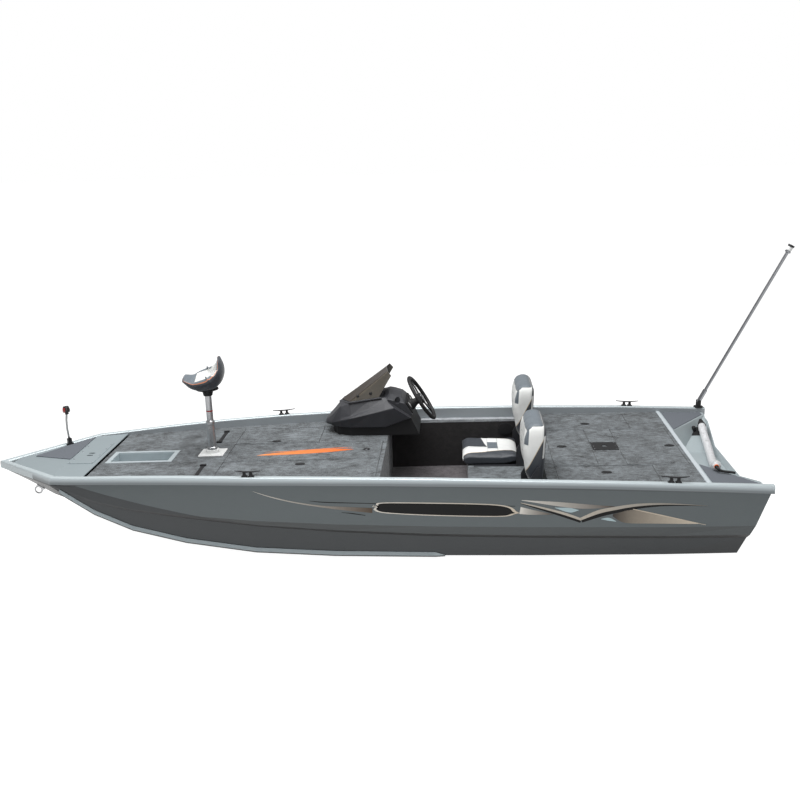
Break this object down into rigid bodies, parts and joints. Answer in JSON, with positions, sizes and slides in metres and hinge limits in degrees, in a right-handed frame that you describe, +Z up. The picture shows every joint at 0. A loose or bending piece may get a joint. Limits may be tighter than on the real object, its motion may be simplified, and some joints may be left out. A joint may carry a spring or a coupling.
{
  "type": "bass boat",
  "caption": "Open aluminium fishing boat with carpeted fore and aft decks, lidded lockers, side console, folding seats, a bow seat on a post and a raked transom.",
  "frame": {"origin": "amidships on the centreline, at the waterline", "axes": "+X to the bow, +Y to port, +Z up"},
  "size_m": [5.562, 1.8515, 1.81],
  "materials": {
    "bare_aluminium": "satin",
    "black_plastic": "satin",
    "cockpit_carpet": "cut-pile carpet",
    "console_moulding": "grained",
    "deck_carpet": "cut-pile carpet",
    "deck_mat": "ribbed foam",
    "hull_paint": "satin metallic",
    "seat_vinyl": "grained vinyl",
    "tinted_acrylic": "clear, tinted brown",
    "trim_paint": "satin metallic",
    "white_film": "stretch film",
    "white_plastic": "satin"
  },
  "bodies": {
    "hull": {"hull_skin": "hull_paint", "gunwale": "trim_paint", "spray_rail_port": "trim_paint", "spray_rail_starboard": "trim_paint", "keel_strip": "hull_paint", "bow_plate": "trim_paint", "bow_mat": "deck_mat", "bow_eye": "bare_aluminium", "fore_deck": "deck_carpet", "fore_lockers": "bare_aluminium", "pedal_tray": "trim_paint", "aft_deck": "deck_carpet", "aft_lockers": "bare_aluminium", "aft_bar": "trim_paint", "deck_socket": "black_plastic", "fore_bulkhead": "deck_carpet", "aft_bulkhead": "deck_carpet", "cockpit_floor": "cockpit_carpet", "side_liner_port": "cockpit_carpet", "side_liner_starboard": "cockpit_carpet", "seat_box": "deck_carpet", "splashwell": "trim_paint", "transom_mat_port": "deck_mat", "transom_mat_starboard": "deck_mat", "cleat_bow_port": "black_plastic", "cleat_bow_starboard": "black_plastic", "cleat_stern_port": "black_plastic", "cleat_stern_starboard": "black_plastic", "rod_strap_port": "black_plastic", "rod_strap_starboard": "black_plastic", "post_plate": "white_plastic", "seat_post": "bare_aluminium", "console_base": "black_plastic", "console_cowl": "console_moulding", "dash_panel": "black_plastic", "steering_column": "black_plastic", "windscreen": "tinted_acrylic", "seat_cushion_port": "seat_vinyl", "seat_bracket_port": "black_plastic", "seat_cushion_starboard": "seat_vinyl", "seat_bracket_starboard": "black_plastic", "side_recess": "black_plastic", "stern_light_base": "bare_aluminium", "bow_light": "black_plastic", "rigging_boot": "black_plastic", "rigging_hose": "white_film", "rigging_plug": "black_plastic"},
    "fore_port_lid": {"lid_fore_port": "deck_carpet"},
    "fore_centre_lid": {"lid_fore_centre": "deck_carpet"},
    "fore_starboard_lid": {"lid_fore_starboard": "deck_carpet"},
    "aft_port_lid": {"lid_aft_port": "deck_carpet"},
    "aft_starboard_lid": {"lid_aft_starboard": "deck_carpet"},
    "aft_front_lid": {"lid_aft_centre_front": "deck_carpet"},
    "aft_rear_lid": {"lid_aft_centre_rear": "deck_carpet"},
    "port_seat_back": {"seat_back_port": "seat_vinyl"},
    "starboard_seat_back": {"seat_back_starboard": "seat_vinyl"},
    "fishing_seat": {"seat_swivel": "black_plastic", "bow_seat": "seat_vinyl"},
    "steering": {"steering_wheel": "black_plastic"},
    "stern_light": {"stern_light_pole": "bare_aluminium"}
  },
  "joints": [
    {"name": "fore_port_lid_hinge", "type": "hinge", "parent": "hull", "child": "fore_port_lid", "pos_m": [-0.17, 0.585, 0.4035], "axis": [-0.9999, 0, 0.0165], "range_deg": [0, 85]},
    {"name": "fore_centre_lid_hinge", "type": "hinge", "parent": "hull", "child": "fore_centre_lid", "pos_m": [0.88986, 0, 0.38601], "axis": [0, 1, 0], "range_deg": [0, 70]},
    {"name": "fore_starboard_lid_hinge", "type": "hinge", "parent": "hull", "child": "fore_starboard_lid", "pos_m": [-0.17, -0.585, 0.4035], "axis": [0.9999, 0, -0.0165], "range_deg": [0, 85]},
    {"name": "aft_port_lid_hinge", "type": "hinge", "parent": "hull", "child": "aft_port_lid", "pos_m": [-2.49, 0.82, 0.406], "axis": [-1, 0, 0], "range_deg": [0, 85]},
    {"name": "aft_starboard_lid_hinge", "type": "hinge", "parent": "hull", "child": "aft_starboard_lid", "pos_m": [-2.49, -0.82, 0.406], "axis": [1, 0, 0], "range_deg": [0, 85]},
    {"name": "aft_front_lid_hinge", "type": "hinge", "parent": "hull", "child": "aft_front_lid", "pos_m": [-1.54, 0, 0.406], "axis": [0, -1, 0], "range_deg": [0, 85]},
    {"name": "aft_rear_lid_hinge", "type": "hinge", "parent": "hull", "child": "aft_rear_lid", "pos_m": [-1.725, 0, 0.406], "axis": [0, 1, 0], "range_deg": [0, 85]},
    {"name": "port_seat_fold", "type": "hinge", "parent": "hull", "child": "port_seat_back", "pos_m": [-1.112, 0.5, 0.415], "axis": [0, 1, 0], "range_deg": [0, 88]},
    {"name": "starboard_seat_fold", "type": "hinge", "parent": "hull", "child": "starboard_seat_back", "pos_m": [-1.112, -0.5, 0.415], "axis": [0, 1, 0], "range_deg": [0, 88]},
    {"name": "fishing_seat_swivel", "type": "hinge", "parent": "hull", "child": "fishing_seat", "pos_m": [1.01353, 0, 0.78933], "axis": [0.0165, 0, 0.9999], "continuous": true},
    {"name": "steering_turn", "type": "hinge", "parent": "hull", "child": "steering", "pos_m": [-0.40346, -0.5, 0.6302], "axis": [-0.8467, 0, 0.5321], "range_deg": [-540, 540]},
    {"name": "stern_light_fold", "type": "hinge", "parent": "hull", "child": "stern_light", "pos_m": [-2.445, -0.8975, 0.47423], "axis": [0, 1, 0], "range_deg": [0, 114]}
  ]
}
